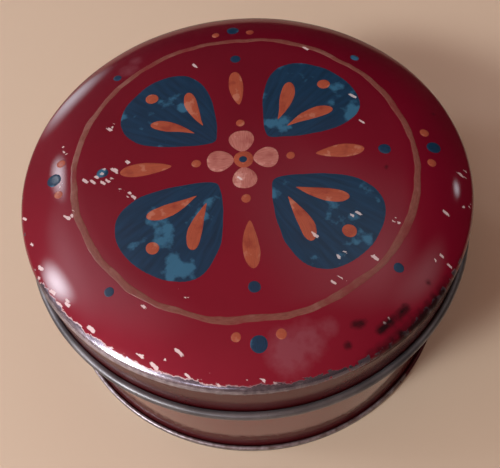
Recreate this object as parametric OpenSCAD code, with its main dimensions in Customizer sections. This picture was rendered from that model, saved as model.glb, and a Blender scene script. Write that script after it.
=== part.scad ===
// Round slip-lid tin: a pressed, domed lid with a wired edge, over a body of
// rolled tinplate whose base is held by a double seam. Millimetres, +Z up, with
// the origin on the table under the middle of the base.

/* [Tinplate] */
// Thickness of the sheet that every shell is made from
sheet_t = 0.5; // [0.4:0.05:0.65]

/* [Body] */
// Outside diameter of the body wall
body_d = 180; // [140:1:240]
// Height of the body, from the table to the top of its mouth
body_h = 79; // [60:0.5:120]
// Outside radius of the inward curl round the mouth
mouth_r = 1.3; // [1.1:0.05:1.6]
// How far round its turn the mouth curl is closed, in degrees
mouth_turn = 280; // [200:5:285]

/* [Side seam] */
// Width of the folded seam down the inside of the wall
fold_w = 6; // [4:0.5:10]
// Width of the line that the folded seam leaves outside
fold_line_w = 0.6; // [0.4:0.1:1]
// Gap from each end of the folded seam to the mouth curl and the base
fold_end_gap = 0.5; // [0.3:0.1:2]

/* [Base] */
// Height of the base panel above the table
base_recess = 4; // [3:0.1:8]
// Outside radius of the bend between the base panel and its rim
base_bend_r = 1.5; // [1:0.1:2.5]
// How far the two hooks of the base seam overlap
seam_lap = 0.9; // [0.6:0.1:2]
// Slack between the folded layers of the base seam
seam_gap = 0.2; // [0.1:0.05:0.25]
// Outside radius of the base seam's lower edges
seam_edge_r = 1; // [0.8:0.1:1.3]

/* [Lid] */
// Clearance between the lid's skirt and the body wall
lid_fit = 0.4; // [0.35:0.05:0.7]
// Gap between the lid's corner and the mouth that it sits on
lid_seat_gap = 0.3; // [0.2:0.05:0.3]
// Straight height of the skirt, from the corner to the middle of the roll
lid_skirt_h = 20.3; // [12:0.1:40]
// Outside radius of the corner between the skirt and the shoulder
lid_corner_r = 3.1; // [2.8:0.1:5]
// Slope of the shoulder where it meets the corner, in degrees
shoulder_slope = 28; // [18:1:36]
// Radius of the shoulder's sweep
shoulder_r = 62; // [40:1:90]
// Slope of the crown where it meets the shoulder, in degrees
crown_slope = 2.5; // [1.5:0.5:5]

/* [Wired edge] */
// Diameter of the wire in the lid's rolled edge
wire_d = 2.4; // [1.8:0.1:3.5]
// Clearance between the wire and the sheet rolled round it
wire_fit = 0.1; // [0.05:0.05:0.2]
// Gap between the wire's two ends
wire_butt_gap = 1; // [0.5:0.1:3]
// How far round its turn the roll is closed, in degrees
roll_turn = 300; // [240:5:300]

/* [Hidden] */

$fn = 120;

lacquer = [0.45, 0.07, 0.12];
bare_tin = [0.55, 0.55, 0.56];
wire_steel = [0.40, 0.40, 0.42];

// Polar angles of the four directions in a profile
outward = 0;
upward = 90;
inward = 180;
downward = 270;
full_turn = 360;

wall_r = body_d / 2;
wall_in_r = wall_r - sheet_t;

// Mouth curl, which stays flush with the outside of the wall
mouth_c = [wall_r - mouth_r, body_h - mouth_r];

// Base seam. From the middle outwards its layers are the base's rim, the wall,
// the base's hook, the wall's hook and the base's outer turn, one pitch apart.
layer = sheet_t + seam_gap;
hook_r = (2 * seam_gap + 3 * sheet_t) / 2;
rim_out_r = wall_in_r - seam_gap;
rim_in_r = rim_out_r - sheet_t;
seam_r = wall_r + 3 * layer;
wall_hook_c = [wall_r + seam_gap + sheet_t / 2, layer + hook_r];
base_hook_c = [seam_r - hook_r, wall_hook_c[1] + seam_lap];

// Base panel
panel_top = base_recess + sheet_t;
panel_bend_c = [rim_out_r - base_bend_r, panel_top - base_bend_r];

// Side seam: four layers of sheet, of which one is the wall itself
fold_t = 3 * sheet_t;
fold_y = wall_r - sheet_t / 2 - fold_t / 2;
fold_low = panel_top + fold_end_gap;
fold_high = body_h - 2 * mouth_r - fold_end_gap;
fold_line_depth = sheet_t / 2;

// Lid. Its corner closes round the mouth curl, which sets the height of the lid:
// lid_z is the height of the corner's centre, and the lid's own section is drawn from there.
skirt_r = wall_r + lid_fit + sheet_t;
corner_in_r = lid_corner_r - sheet_t;
seat_across = corner_in_r - lid_fit - mouth_r;
seat_reach = corner_in_r - lid_seat_gap - mouth_r;
lid_z = mouth_c[1] - sqrt(pow(seat_reach, 2) - pow(seat_across, 2));
corner_c = [skirt_r - lid_corner_r, 0];
shoulder_c = corner_c + (lid_corner_r - shoulder_r) * [sin(shoulder_slope), cos(shoulder_slope)];
crown_r = shoulder_r + shoulder_c[0] / sin(crown_slope);
crown_c = shoulder_c + (shoulder_r - crown_r) * [sin(crown_slope), cos(crown_slope)];

// Wired edge, rolled outwards from the inside of the skirt
roll_r = wire_d / 2 + wire_fit + sheet_t;
roll_c = [skirt_r - sheet_t + roll_r, -lid_skirt_h];
wire_gap_angle = wire_butt_gap / roll_c[0] * 180 / PI;

// Straight steps along each sweep of the lid's line
crown_steps = 6;
shoulder_steps = 18;
corner_steps = 12;

// Points along an arc round c, after its first point
function arc(c, r, from, to, steps) =
    [for (i = [1:steps]) let (a = from + (to - from) * i / steps) c + r * [cos(a), sin(a)]];

// The line of the lid at a depth below its outside: from the axis along the crown and the
// shoulder, round the corner and down the skirt, each sweep tangent to the next
function lid_line(depth) = concat(
    [[0, crown_c[1] + crown_r - depth]],
    arc(crown_c, crown_r - depth, upward, upward - crown_slope, crown_steps),
    arc(shoulder_c, shoulder_r - depth, upward - crown_slope, upward - shoulder_slope, shoulder_steps),
    arc(corner_c, lid_corner_r - depth, upward - shoulder_slope, outward, corner_steps),
    [[skirt_r - depth, roll_c[1]]]
);

function backwards(points) = [for (i = [len(points) - 1:-1:0]) points[i]];

// A bend of sheet: part of a ring of outside radius r round c, between two polar angles
module bend(c, r, from, to) {
    steps = 6;
    reach = 2 * r;
    spokes = [for (i = [0:steps]) let (a = from + (to - from) * i / steps) reach * [cos(a), sin(a)]];
    translate(c) intersection() {
        difference() {
            circle(r);
            circle(r - sheet_t);
        }
        polygon(concat([[0, 0]], spokes));
    }
}

// A straight upright run of sheet, from radius r outwards
module upright(r, low, high) {
    translate([r, low]) square([sheet_t, high - low]);
}

// A straight level run of sheet, from height low upwards
module level(from_r, to_r, low) {
    translate([from_r, low]) square([to_r - from_r, sheet_t]);
}

// The pressed lid: crown, shoulder, corner and skirt, with its edge rolled round the wire
module lid_shell() {
    color(lacquer) translate([0, 0, lid_z]) rotate_extrude() {
        polygon(concat(lid_line(sheet_t), backwards(lid_line(0))));
        bend(roll_c, roll_r, inward, inward + roll_turn);
    }
}

// The wire that stiffens the lid's edge, bent to a ring with its ends at the back
module lid_rim_wire() {
    color(wire_steel)
        translate([0, 0, lid_z])
            rotate([0, 0, upward + wire_gap_angle / 2])
                rotate_extrude(angle = full_turn - wire_gap_angle)
                    translate(roll_c) circle(d = wire_d);
}

// The section of the wall: a curled mouth at the top, and a hook turned outwards and up at the foot
module wall_section() {
    bend(mouth_c, mouth_r, outward, outward + mouth_turn);
    upright(wall_in_r, wall_hook_c[1], mouth_c[1]);
    bend(wall_hook_c, hook_r, inward, full_turn);
    upright(wall_hook_c[0] + hook_r - sheet_t, wall_hook_c[1], base_hook_c[1]);
}

// The folded side seam, with the round edges of a flattened fold
module fold_section() {
    end_r = fold_t / 2;
    translate([-fold_w / 2 + end_r, fold_y - end_r]) square([fold_w - fold_t, fold_t]);
    for (side = [-1, 1])
        translate([side * (fold_w / 2 - end_r), fold_y]) circle(end_r);
}

// The body: a rolled sheet, folded together at the back
module body_wall() {
    color(lacquer) difference() {
        union() {
            rotate_extrude() wall_section();
            translate([0, 0, fold_low]) linear_extrude(fold_high - fold_low) fold_section();
        }
        translate([fold_w / 2 - fold_line_w, wall_r - fold_line_depth, fold_low])
            cube([fold_line_w, wall_r, fold_high - fold_low]);
    }
}

// The base: a panel set up inside the wall, whose rim turns out, up and down again behind the wall's hook
module base_pan() {
    color(bare_tin) rotate_extrude() {
        level(0, panel_bend_c[0], base_recess);
        bend(panel_bend_c, base_bend_r, outward, upward);
        upright(rim_in_r, seam_edge_r, panel_bend_c[1]);
        bend([rim_in_r + seam_edge_r, seam_edge_r], seam_edge_r, inward, downward);
        level(rim_in_r + seam_edge_r, seam_r - seam_edge_r, 0);
        bend([seam_r - seam_edge_r, seam_edge_r], seam_edge_r, downward, full_turn);
        upright(seam_r - sheet_t, seam_edge_r, base_hook_c[1]);
        bend(base_hook_c, hook_r, outward, inward);
        upright(wall_r + seam_gap, wall_hook_c[1], base_hook_c[1]);
    }
}

lid_shell();
lid_rim_wire();
body_wall();
base_pan();
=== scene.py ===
# Looks of a round slip-lid tin: lacquered tinplate with worn edges and brushed ornament
import math
from functools import partial
import bpy
import numpy as np
from mathutils import Matrix, Vector


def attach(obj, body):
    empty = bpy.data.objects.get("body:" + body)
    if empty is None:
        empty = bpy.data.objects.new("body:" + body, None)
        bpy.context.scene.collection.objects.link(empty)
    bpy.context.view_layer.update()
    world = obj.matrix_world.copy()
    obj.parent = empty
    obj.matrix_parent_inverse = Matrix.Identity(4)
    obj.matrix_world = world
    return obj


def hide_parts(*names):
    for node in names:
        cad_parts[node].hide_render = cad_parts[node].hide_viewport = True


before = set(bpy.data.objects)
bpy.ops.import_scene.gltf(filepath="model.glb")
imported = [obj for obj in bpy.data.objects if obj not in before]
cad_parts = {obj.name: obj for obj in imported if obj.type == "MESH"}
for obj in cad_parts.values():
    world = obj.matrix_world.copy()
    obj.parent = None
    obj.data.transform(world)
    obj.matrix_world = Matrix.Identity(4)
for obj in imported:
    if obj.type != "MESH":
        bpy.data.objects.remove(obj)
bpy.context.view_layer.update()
mm = 0.001
print("frame loaded:", ", ".join(sorted(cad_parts)))


# Small helpers

def toLinear(hexColour):
    # an sRGB hex colour as the linear colour that sockets take
    channels = [int(hexColour[i:i + 2], 16) / 255 for i in (0, 2, 4)]
    return [c / 12.92 if c <= 0.04045 else ((c + 0.055) / 1.055) ** 2.4 for c in channels] + [1]


def perMm(size):
    # the texture scale that gives features of this size in millimetres
    return 1 / (size * mm)


def feed(node, inputs):
    # links the sockets among a node's inputs and sets the plain values; a list fills the first inputs
    named = inputs if isinstance(inputs, dict) else dict(enumerate(inputs))
    for socket, value in named.items():
        if isinstance(value, bpy.types.NodeSocket):
            node.id_data.links.new(value, node.inputs[socket])
        else:
            node.inputs[socket].default_value = value


def addNode(tree, kind, inputs=(), output=0, **settings):
    # a node with its settings and inputs; gives back one output, or all of them where output is None
    node = tree.nodes.new(kind)
    for name, value in settings.items():
        setattr(node, name, value)
    feed(node, inputs)
    return node.outputs if output is None else node.outputs[output]


def newGroup(name, kind, inputs, outputs):
    # an empty node group: itself, what adds nodes to it, and the sockets that its inputs arrive on
    tree = bpy.data.node_groups.new(name, kind)
    for way, sockets in (("INPUT", inputs), ("OUTPUT", outputs)):
        for label, socketType in sockets.items():
            tree.interface.new_socket(label, in_out=way, socket_type="NodeSocket" + socketType)
    add = partial(addNode, tree)
    return tree, add, add("NodeGroupInput", output=None)


def growPiece(name, tree, sizes, start=None):
    # runs a Geometry Nodes tree on a mesh and keeps what it makes as a plain mesh
    piece = bpy.data.objects.new(name, start or bpy.data.meshes.new(name))
    bpy.context.scene.collection.objects.link(piece)
    grower = piece.modifiers.new(name, "NODES")
    grower.node_group = tree
    for socket in tree.interface.items_tree:
        if socket.in_out == "INPUT" and socket.name in sizes:
            grower[socket.identifier] = sizes[socket.name]
    graph = bpy.context.evaluated_depsgraph_get()
    made = bpy.data.meshes.new_from_object(piece.evaluated_get(graph), preserve_all_data_layers=True,
                                           depsgraph=graph)
    piece.modifiers.clear()
    piece.data = made
    made.name = name
    print("made", name, "with", len(made.polygons), "faces")
    return piece


# Camera, floor and light

camera = {
    "eye": (0, -160.2, 299.5),      # mm, about where a phone was held
    "aim": (0, 1.2, 28.9),          # mm, the point in the middle of the picture
    "tilt": -4.94,                  # degrees that the phone was turned in the hand
    "lens": 48.2,                   # mm
    "sensor": 36,                   # mm, its width
    "nearest": 10,                  # mm
}


def addCamera():
    data = bpy.data.cameras.new("camera")
    data.lens = camera["lens"]
    data.sensor_width = camera["sensor"]
    data.clip_start = camera["nearest"] * mm
    eye, aim = Vector(camera["eye"]) * mm, Vector(camera["aim"]) * mm
    turn = (aim - eye).to_track_quat("-Z", "Y").to_matrix().to_4x4()
    roll = Matrix.Rotation(math.radians(camera["tilt"]), 4, "Z")
    eyepiece = bpy.data.objects.new("camera", data)
    eyepiece.matrix_world = Matrix.Translation(eye) @ turn @ roll
    bpy.context.scene.collection.objects.link(eyepiece)
    bpy.context.scene.camera = eyepiece


room = {
    "floorColour": "d2bfa8",
    "floorRough": 0.7,
    "floorSize": 6,                 # m
    "floorDrop": 0.02,              # mm under the tin, so that the two don't lie in one plane
    "ceiling": "b07e6a",            # the lamplit room overhead
    "dimWall": "1c1614",            # and low down on its dim side
    "brightSide": (205, 50),        # azimuth and elevation of its brightest part, in degrees
    "litSpan": (-0.1, 1),           # cosines of the angle from there, from dim to bright
    "paneMiddle": 3.3,              # how strong the middle of a pane is, since it fades outwards
    # azimuth and elevation in degrees, distance, width and height in m, watts, colour
    "panes": {
        "key": (213, 37, 2.2, 0.80, 0.70, 33, "ffffff"),
        "frontWindow": (248, 38, 2.6, 0.90, 0.60, 4.0, "f0f5ff"),
        "leftWindow": (172.5, 35.5, 2.6, 0.76, 0.95, 11, "f0f5ff"),
        "leftCurtain": (166, 44, 2.6, 2.00, 1.20, 2.0, "f0f5ff"),
        "backWindow": (136, 35.5, 2.6, 0.42, 0.90, 3.2, "f0f5ff"),
        "lowWindow": (123, 5, 2.6, 1.10, 1.15, 3.2, "f0f5ff"),
        "farLamp": (26, 28, 2.6, 0.28, 0.28, 0.4, "f0f5ff"),
        "overhead": (160, 55, 2.6, 2.80, 2.60, 5, "f0f5ff"),
        "ceilingGlow": (40, 65, 2.6, 3.40, 1.30, 2.4, "ffffff"),
        "rightGlow": (0, 47, 2.6, 1.30, 1.30, 1.0, "ffffff"),
    },
}


def towards(azimuth, elevation):
    # the unit vector in a direction given in degrees
    around, above = math.radians(azimuth), math.radians(elevation)
    return Vector((math.cos(around) * math.cos(above), math.sin(around) * math.cos(above), math.sin(above)))


def addPane(name, azimuth, elevation, distance, width, height, watts, colour):
    # a curtained window: an oval of light that fades towards its edge
    lamp = bpy.data.lights.new(name, "AREA")
    lamp.shape = "ELLIPSE"
    lamp.size = width
    lamp.size_y = height
    lamp.energy = watts
    lamp.color = toLinear(colour)[:3]
    lamp.use_nodes = True
    add = partial(addNode, lamp.node_tree)
    spot = add("ShaderNodeNewGeometry", output="Parametric")        # runs from 0 to 1 across the pane
    middle = add("ShaderNodeVectorMath", [spot, (0.5, 0.5, 0)], operation="SUBTRACT")
    flat = add("ShaderNodeVectorMath", [middle, (2, 2, 0)], operation="MULTIPLY")
    away = add("ShaderNodeVectorMath", [flat], output="Value", operation="LENGTH")
    glow = add("ShaderNodeMapRange", [away, 1, 0, 0, room["paneMiddle"]], interpolation_type="SMOOTHSTEP")
    feed(lamp.node_tree.nodes["Emission"], {"Strength": glow})
    pane = bpy.data.objects.new(name, lamp)
    pane.location = towards(azimuth, elevation) * distance
    pane.rotation_mode = "QUATERNION"
    pane.rotation_quaternion = towards(azimuth, elevation).to_track_quat("Z", "Y")
    bpy.context.scene.collection.objects.link(pane)


def addFloor():
    reach = room["floorSize"] / 2
    data = bpy.data.meshes.new("floor")
    data.from_pydata([(-reach, -reach, 0), (reach, -reach, 0), (reach, reach, 0), (-reach, reach, 0)],
                     [], [(0, 1, 2, 3)])
    floor = bpy.data.objects.new("floor", data)
    floor.location.z = -room["floorDrop"] * mm
    bpy.context.scene.collection.objects.link(floor)
    matt = bpy.data.materials.new("matt pale floor")
    matt.use_nodes = True
    feed(matt.node_tree.nodes["Principled BSDF"], {"Base Color": toLinear(room["floorColour"]),
                                                   "Roughness": room["floorRough"]})
    data.materials.append(matt)


def addRoom():
    for name, settings in room["panes"].items():
        addPane(name, *settings)
    world = bpy.data.worlds.new("room")
    world.use_nodes = True
    add = partial(addNode, world.node_tree)
    way = add("ShaderNodeTexCoord", output="Generated")
    facing = add("ShaderNodeVectorMath", [way, towards(*room["brightSide"])], output="Value",
                 operation="DOT_PRODUCT")
    lit = add("ShaderNodeMapRange", [facing, *room["litSpan"]], interpolation_type="SMOOTHSTEP")
    wallColour = add("ShaderNodeMix", {0: lit, 6: toLinear(room["dimWall"]), 7: toLinear(room["ceiling"])},
                     output=2, data_type="RGBA")
    feed(world.node_tree.nodes["Background"], {"Color": wallColour})
    bpy.context.scene.world = world
    bpy.context.scene.view_settings.view_transform = "Standard"


addCamera()
addFloor()
addRoom()
print("camera, floor and light set")


# Wear that the lacquer and the paint share, with the painted highlight, shade and reflection that ride on it

wear = {
    "chipLength": 5.4,              # mm between neighbouring flakes, along and across the way they run
    "chipWidth": 2.0,
    "chipTurn": -43,                # degrees
    "chipShake": 0.35,              # how ragged a flake is, as a share of those spacings
    "chipShakeSize": 0.8,           # mm
    "chipReach": (0.2, 0.36),       # the smallest and the largest flake, as shares of them
    "chipEdge": (-0.02, 0.04),      # how soon lacquer gives way to the pale priming
    "blotSize": 3,                  # mm, blots in the stains and painted shade, and in the bloom and painted reflection
    "blots": (1.3, 0.35),           # how much the blots add, and what is there without them
    "stainAndShadeSpan": (0.3, 0.85),       # from none to the full stain, and to the full painted shade on the wall
    "bloomAndReflectionSpan": (0.22, 0.8),
    "raggedSize": 2.2,              # mm, teeth round a rubbed patch
    "raggedBy": 0.6,                # how far they shift its border
    "holdSpan": (0.28, 0.6),        # how much rubbing the weakest and the strongest flakes stand
    "rubEdge": (-0.03, 0.03),
    "tinHighlightSpan": (0.72, 1.12),      # from plain tin to the painted highlight on it
    "primingLine": (0.12, 0.04),    # how far past the border of the lacquer the priming still shows
    "primingFlakes": (0.05, 0.3),   # share of flakes gone where it begins to show, and shows in full
}


def wearGroup():
    # Chip, stain, bloom and rub masks, from the piece's own wear attribute broken up by patterns; the stain
    # mask also carries the wall's painted shade, the bloom mask a painted reflection, and the last mask is a
    # painted highlight on bare tin
    tree, add, _ = newGroup("wearPattern", "ShaderNodeTree", {}, {
        "Chips": "Float", "Stains": "Float", "Bloom": "Float", "Rub": "Float", "Fresh": "Float"})
    place = add("ShaderNodeTexCoord", output="Object")
    marks = add("ShaderNodeAttribute", output=None, attribute_name="wear")
    flaking, stainingAndShade, mistingAndReflection = add("ShaderNodeSeparateColor", [marks["Color"]], output=None)
    # chips are short, squarish bars that all run one way; each has its own luck, size and hold
    bars = add("ShaderNodeMapping", {
        "Vector": place,
        "Rotation": (0, 0, math.radians(wear["chipTurn"])),
        "Scale": (wear["chipLength"] * mm, wear["chipWidth"] * mm, 1),
    }, vector_type="TEXTURE")
    shake = add("ShaderNodeTexNoise", {"Vector": place, "Scale": perMm(wear["chipShakeSize"]), "Detail": 2},
                output="Color")
    ragged = add("ShaderNodeVectorMath", [shake, (wear["chipShake"], wear["chipShake"], 0), bars],
                 operation="MULTIPLY_ADD")
    cells = add("ShaderNodeTexVoronoi", {"Vector": ragged, "Scale": 1, "Exponent": 4}, output=None,
                voronoi_dimensions="2D", distance="MINKOWSKI")
    luck, size, hold = add("ShaderNodeSeparateColor", [cells["Color"]], output=None)
    lucky = add("ShaderNodeMath", [flaking, luck], operation="GREATER_THAN")
    reach = add("ShaderNodeMapRange", [size, 0, 1, *wear["chipReach"]])
    inside = add("ShaderNodeMath", [reach, cells["Distance"]], operation="SUBTRACT")
    bar = add("ShaderNodeMapRange", [inside, *wear["chipEdge"]])
    flakes = add("ShaderNodeMath", [lucky, bar], operation="MULTIPLY")
    # stains and painted shade, bloom and painted reflection share their blots
    blots = add("ShaderNodeTexNoise", {"Vector": place, "Scale": perMm(wear["blotSize"]), "Detail": 4})
    uneven = add("ShaderNodeMath", [blots, *wear["blots"]], operation="MULTIPLY_ADD")
    deep = add("ShaderNodeMath", [stainingAndShade, uneven], operation="MULTIPLY")
    stains = add("ShaderNodeMapRange", [deep, *wear["stainAndShadeSpan"]])
    milkyAndReflected = add("ShaderNodeMath", [mistingAndReflection, uneven], operation="MULTIPLY")
    bloomAndReflection = add("ShaderNodeMapRange", [milkyAndReflected, *wear["bloomAndReflectionSpan"]])
    # along a worn edge whole flakes go, and the edges of the rest are torn
    teeth = add("ShaderNodeTexNoise", {"Vector": place, "Scale": perMm(wear["raggedSize"]), "Detail": 3})
    torn = add("ShaderNodeMath", [teeth, wear["raggedBy"], -wear["raggedBy"] / 2], operation="MULTIPLY_ADD")
    bare = add("ShaderNodeMath", [torn, marks["Alpha"]], operation="ADD")
    stands = add("ShaderNodeMapRange", [hold, 0, 1, *wear["holdSpan"]])
    beyond = add("ShaderNodeMath", [bare, stands], operation="SUBTRACT")
    gone = add("ShaderNodeMapRange", [beyond, *wear["rubEdge"]])
    # painted highlight: the most rubbed tin, which lies where the light's reflection falls, goes bright
    tinHighlight = add("ShaderNodeMapRange", [bare, *wear["tinHighlightSpan"]])
    # the pale priming shows in a thin line where the lacquer stops, if flakes have gone there lately; beside
    # the lid's painted highlight the line and the flakes are painted glints
    border = add("ShaderNodeMapRange", [beyond, *wear["primingLine"]])
    lately = add("ShaderNodeMapRange", [flaking, *wear["primingFlakes"]])
    broken = add("ShaderNodeMath", [border, lately], operation="MULTIPLY")
    priming = add("ShaderNodeMath", [broken, gone], operation="MULTIPLY")
    rub = add("ShaderNodeMath", [gone, priming], operation="SUBTRACT")
    chips = add("ShaderNodeMath", [flakes, priming], operation="MAXIMUM")
    add("NodeGroupOutput", {"Chips": chips, "Stains": stains, "Bloom": bloomAndReflection, "Rub": rub, "Fresh": tinHighlight},
        output=None)
    return tree


wearPattern = wearGroup()


# Materials

noiseSpan = (0.3, 0.7)                      # most of a noise pattern lies between these values
colourMix = {"output": 2, "data_type": "RGBA"}      # a Mix node of the colours on its inputs 6 and 7


def newMaterial(name, look):
    # a node material, what adds nodes to it, the place on the piece, and the look with its colours linear
    made = bpy.data.materials.new(name)
    made.use_nodes = True
    add = partial(addNode, made.node_tree)
    linear = {key: toLinear(value) if isinstance(value, str) else value for key, value in look.items()}
    return made, add, add("ShaderNodeTexCoord", output="Object"), linear


def finishMaterial(made, height, inputs):
    # sets the shader: what varies over the surface is linked, and the rest are plain values; height is in m
    bump = addNode(made.node_tree, "ShaderNodeBump", {"Height": height, "Strength": 1, "Distance": 1})
    feed(made.node_tree.nodes["Principled BSDF"], dict(inputs, Normal=bump))


redLacquer = {
    # the bloom colour also paints a pale reflection on the front of the lid
    "deep": "62021c", "bright": "7c0624", "bloomAndReflection": "94606c", "stainAndShade": "260d12", "chip": "d0bcbe",
    "shadeFrom": 95, "shadeTo": -95,          # mm along y: painted shade, from deep at the back to bright at the front
    "cloudSize": 40, "cloudBy": 0.15,       # mm, and how much slow clouds shift the tone
    "bloomAndReflectionShare": 0.36,
    "metal": 0.22, "rough": 0.56, "sheen": 0.08, "ior": 1.5,
    "coat": 0.9, "dullCoat": 0.0, "coatRough": 0.08,
    "grimeSize": 3, "grimeRough": (-0.08, 0.10),    # mm, and how grime shifts the roughness
    # the second tin colour is a painted highlight on the bare tin
    "tin": "6a6470", "highlightTin": "c4c1cf", "tinRough": 0.22, "tinMetal": 0.8,
    "stainAndShadeRough": 0.6, "stainAndShadeMetal": 0.2,
    "flowSize": 9, "flowDepth": 0.02,       # mm, the slow waves it dried in
    "filmDepth": 0.02,                      # mm that a flake leaves
}


def lacquerMaterial(name, look):
    # Transparent red lacquer stoved on bright tinplate, with painted shade that takes it from bright at the
    # front to deep at the back; the gloss on it holds the windows, and it wears through to grey tin
    made, add, place, look = newMaterial(name, look)
    masks = add("ShaderNodeGroup", output=None, node_tree=wearPattern)
    cloudy = add("ShaderNodeTexNoise", {"Vector": place, "Scale": perMm(look["cloudSize"]), "Detail": 5})
    # painted shade: the colour is lighter towards the front and deeper towards the back
    front = add("ShaderNodeSeparateXYZ", [place], output="Y")
    paintedShade = add("ShaderNodeMapRange", [front, look["shadeFrom"] * mm, look["shadeTo"] * mm])
    drift = add("ShaderNodeMapRange", [cloudy, *noiseSpan, -look["cloudBy"], look["cloudBy"]])
    tone = add("ShaderNodeMath", [paintedShade, drift], operation="ADD", use_clamp=True)
    colour = add("ShaderNodeMix", {0: tone, 6: look["deep"], 7: look["bright"]}, **colourMix)
    # bloom adds a milky tint, which at the front of the lid is a painted reflection
    mistedAndReflected = add("ShaderNodeMath", [masks["Bloom"], look["bloomAndReflectionShare"]], operation="MULTIPLY")
    # rubbed tin turns pale as a painted highlight where the last mask is high
    rubbedTin = add("ShaderNodeMix", {0: masks["Fresh"], 6: look["tin"], 7: look["highlightTin"]}, **colourMix)
    for share, tint in ((mistedAndReflected, look["bloomAndReflection"]), (masks["Chips"], look["chip"]),
                        (masks["Rub"], rubbedTin), (masks["Stains"], look["stainAndShade"])):
        colour = add("ShaderNodeMix", {0: share, 6: colour, 7: tint}, **colourMix)
    grime = add("ShaderNodeTexNoise", {"Vector": place, "Scale": perMm(look["grimeSize"]), "Detail": 6})
    rough = add("ShaderNodeMapRange", [grime, 0, 1, *(look["rough"] + by for by in look["grimeRough"])])
    rough = add("ShaderNodeMix", {0: masks["Rub"], 2: rough, 3: look["tinRough"]})
    rough = add("ShaderNodeMix", {0: masks["Stains"], 2: rough, 3: look["stainAndShadeRough"]})
    metal = add("ShaderNodeMapRange", [masks["Rub"], 0, 1, look["metal"], look["tinMetal"]])
    metal = add("ShaderNodeMix", {0: masks["Stains"], 2: metal, 3: look["stainAndShadeMetal"]})
    lost = add("ShaderNodeMath", [masks["Chips"], masks["Rub"]], operation="MAXIMUM")
    dull = add("ShaderNodeMath", [lost, masks["Stains"]], operation="MAXIMUM")
    coat = add("ShaderNodeMapRange", [dull, 0, 1, look["coat"], look["dullCoat"]])
    flow = add("ShaderNodeTexNoise", {"Vector": place, "Scale": perMm(look["flowSize"]), "Detail": 2})
    waves = add("ShaderNodeMath", [flow, look["flowDepth"] * mm], operation="MULTIPLY")
    height = add("ShaderNodeMath", [lost, -look["filmDepth"] * mm, waves], operation="MULTIPLY_ADD")
    finishMaterial(made, height, {
        "Base Color": colour, "Metallic": metal, "Roughness": rough, "IOR": look["ior"],
        "Specular IOR Level": look["sheen"], "Coat Weight": coat, "Coat Roughness": look["coatRough"]})
    return made


tinplate = {
    "dark": "56565a", "light": "7a7a7e", "metal": 0.7, "rough": 0.38,
    "cloudSize": 14,                        # mm, clouds of tarnish
    "rust": "4a3428", "rustMetal": 0.1,
    "speckSize": 1.6,                       # mm
    "rustSpan": (0.63, 0.72),               # from clean tin to the middle of a speck
    "rustShare": 0.5,
    "speckRough": (-0.1, 0.15),             # how specks shift the roughness
    "pitDepth": 0.01,                       # mm
}


def tinMaterial(name, look):
    # Hot-dipped tinplate, rolled and handled: grey metal dulled by tarnish, with brown specks of rust
    made, add, place, look = newMaterial(name, look)
    cloudy = add("ShaderNodeTexNoise", {"Vector": place, "Scale": perMm(look["cloudSize"]), "Detail": 6})
    tone = add("ShaderNodeMapRange", [cloudy, *noiseSpan])
    colour = add("ShaderNodeMix", {0: tone, 6: look["dark"], 7: look["light"]}, **colourMix)
    specks = add("ShaderNodeTexNoise", {"Vector": place, "Scale": perMm(look["speckSize"]), "Detail": 5})
    rust = add("ShaderNodeMapRange", [specks, *look["rustSpan"], 0, look["rustShare"]])
    colour = add("ShaderNodeMix", {0: rust, 6: colour, 7: look["rust"]}, **colourMix)
    metal = add("ShaderNodeMapRange", [rust, 0, 1, look["metal"], look["rustMetal"]])
    rough = add("ShaderNodeMapRange", [specks, 0, 1, *(look["rough"] + by for by in look["speckRough"])])
    height = add("ShaderNodeMath", [specks, look["pitDepth"] * mm], operation="MULTIPLY")
    finishMaterial(made, height, {"Base Color": colour, "Metallic": metal, "Roughness": rough})
    return made


enamel = {
    "bristles": (1.6, 13, 1),               # streaks along a stroke and across it
    "wornSpan": (0.58, 0.64),               # from sound paint to a rubbed patch
    "thinSpan": (0.48, 0.32),               # from full paint to thin
    "rough": (0.28, 0.5), "sheen": 0.2, "ior": 1.5, "coat": 0.35, "coatRough": 0.14,
    "streakDepth": 0.02,                    # mm
}


def enamelMaterial(name, look):
    # Sign-writer's enamel laid on by brush: streaks run along each stroke, rubbed patches go pale,
    # and where it is thin the lacquer under it shows
    made, add, place, look = newMaterial(name, look)
    masks = add("ShaderNodeGroup", output=None, node_tree=wearPattern)
    along = add("ShaderNodeAttribute", output="Vector", attribute_name="stroke")
    bristles = add("ShaderNodeMapping", {"Vector": along, "Scale": look["bristles"]})
    streak = add("ShaderNodeTexNoise", {"Vector": bristles, "Scale": 1, "Detail": 4})
    blend = add("ShaderNodeMapRange", [streak, *noiseSpan])
    colour = add("ShaderNodeMix", {0: blend, 6: look["dark"], 7: look["light"]}, **colourMix)
    patches = add("ShaderNodeTexNoise", {"Vector": place, "Scale": perMm(look["wornSize"]), "Detail": 6})
    rubbed = add("ShaderNodeMapRange", [patches, *look["wornSpan"], 0, look["wornShare"]])
    thin = add("ShaderNodeMapRange", [patches, *look["thinSpan"], 0, look["thinShare"]])
    for share, tint in ((rubbed, "worn"), (thin, "under"), (masks["Chips"], "chip")):
        colour = add("ShaderNodeMix", {0: share, 6: colour, 7: look[tint]}, **colourMix)
    rough = add("ShaderNodeMapRange", [streak, 0, 1, *look["rough"]])
    height = add("ShaderNodeMath", [streak, look["streakDepth"] * mm], operation="MULTIPLY")
    finishMaterial(made, height, {
        "Base Color": colour, "Roughness": rough, "IOR": look["ior"], "Specular IOR Level": look["sheen"],
        "Coat Weight": look["coat"], "Coat Roughness": look["coatRough"]})
    return made


lidLacquer = lacquerMaterial("worn red lacquer", redLacquer)
skirtLacquer = lacquerMaterial("red lacquer dulled by hands", dict(
    redLacquer, deep="3a080e", bright="4a0c13", sheen=0.0, metal=0.3, rough=0.45, coat=0.55, coatRough=0.16))
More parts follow.
